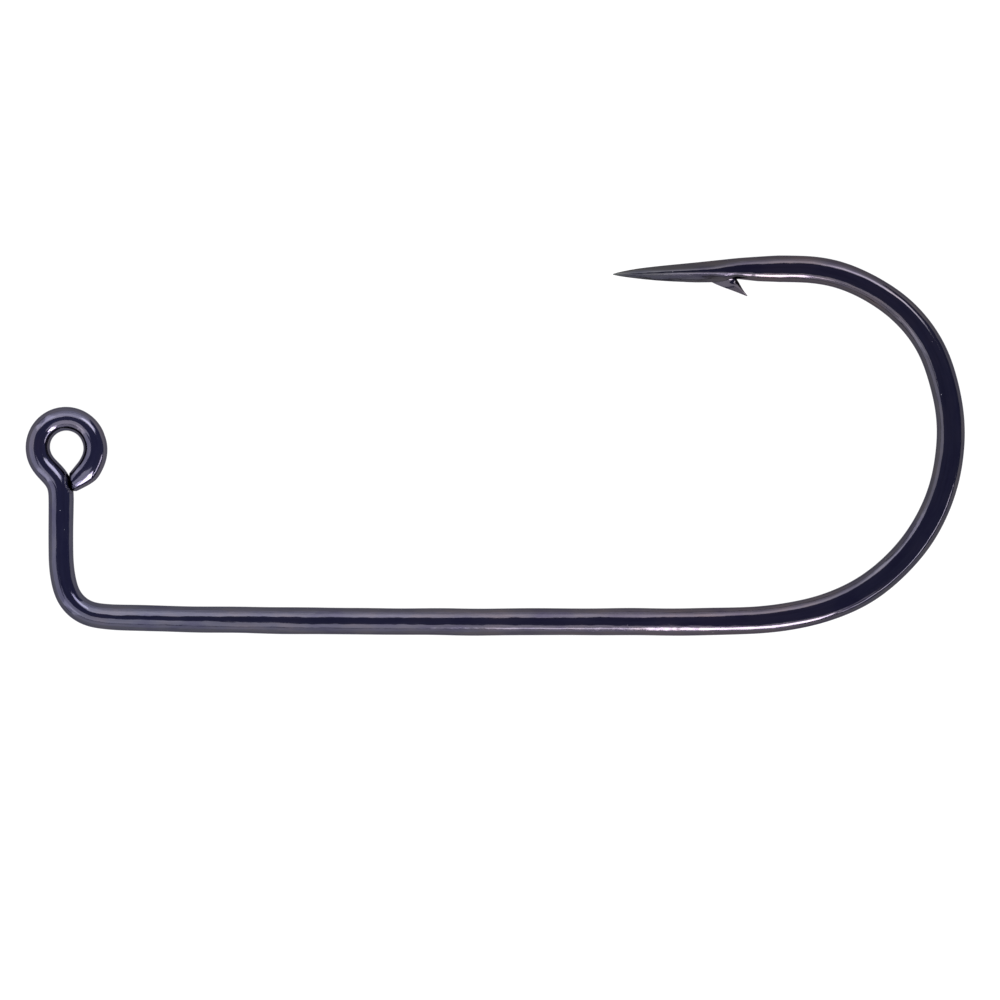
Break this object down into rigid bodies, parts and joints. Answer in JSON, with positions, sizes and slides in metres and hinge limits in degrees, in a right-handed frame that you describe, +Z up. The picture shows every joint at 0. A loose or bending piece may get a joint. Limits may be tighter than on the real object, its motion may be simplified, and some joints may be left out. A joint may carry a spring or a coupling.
{
  "type": "right-angle jig hook",
  "caption": "Bare right-angle jig hook in black-nickel wire: ringed eye on a short upright leg, long shank, pressed round bend and barbed four-sided point.",
  "frame": {"origin": "centre of the hook's outline at the height of its lowest face, as it lies on its side", "axes": "+X along the shank from the eye towards the bend, +Y across the gape from the shank to the point, +Z up through the wire's thickness"},
  "size_m": [0.0434, 0.0176, 0.0012],
  "materials": {
    "black_nickel": "glossy black nickel plating on steel wire"
  },
  "bodies": {
    "root": {"hook": "black_nickel"}
  },
  "joints": []
}
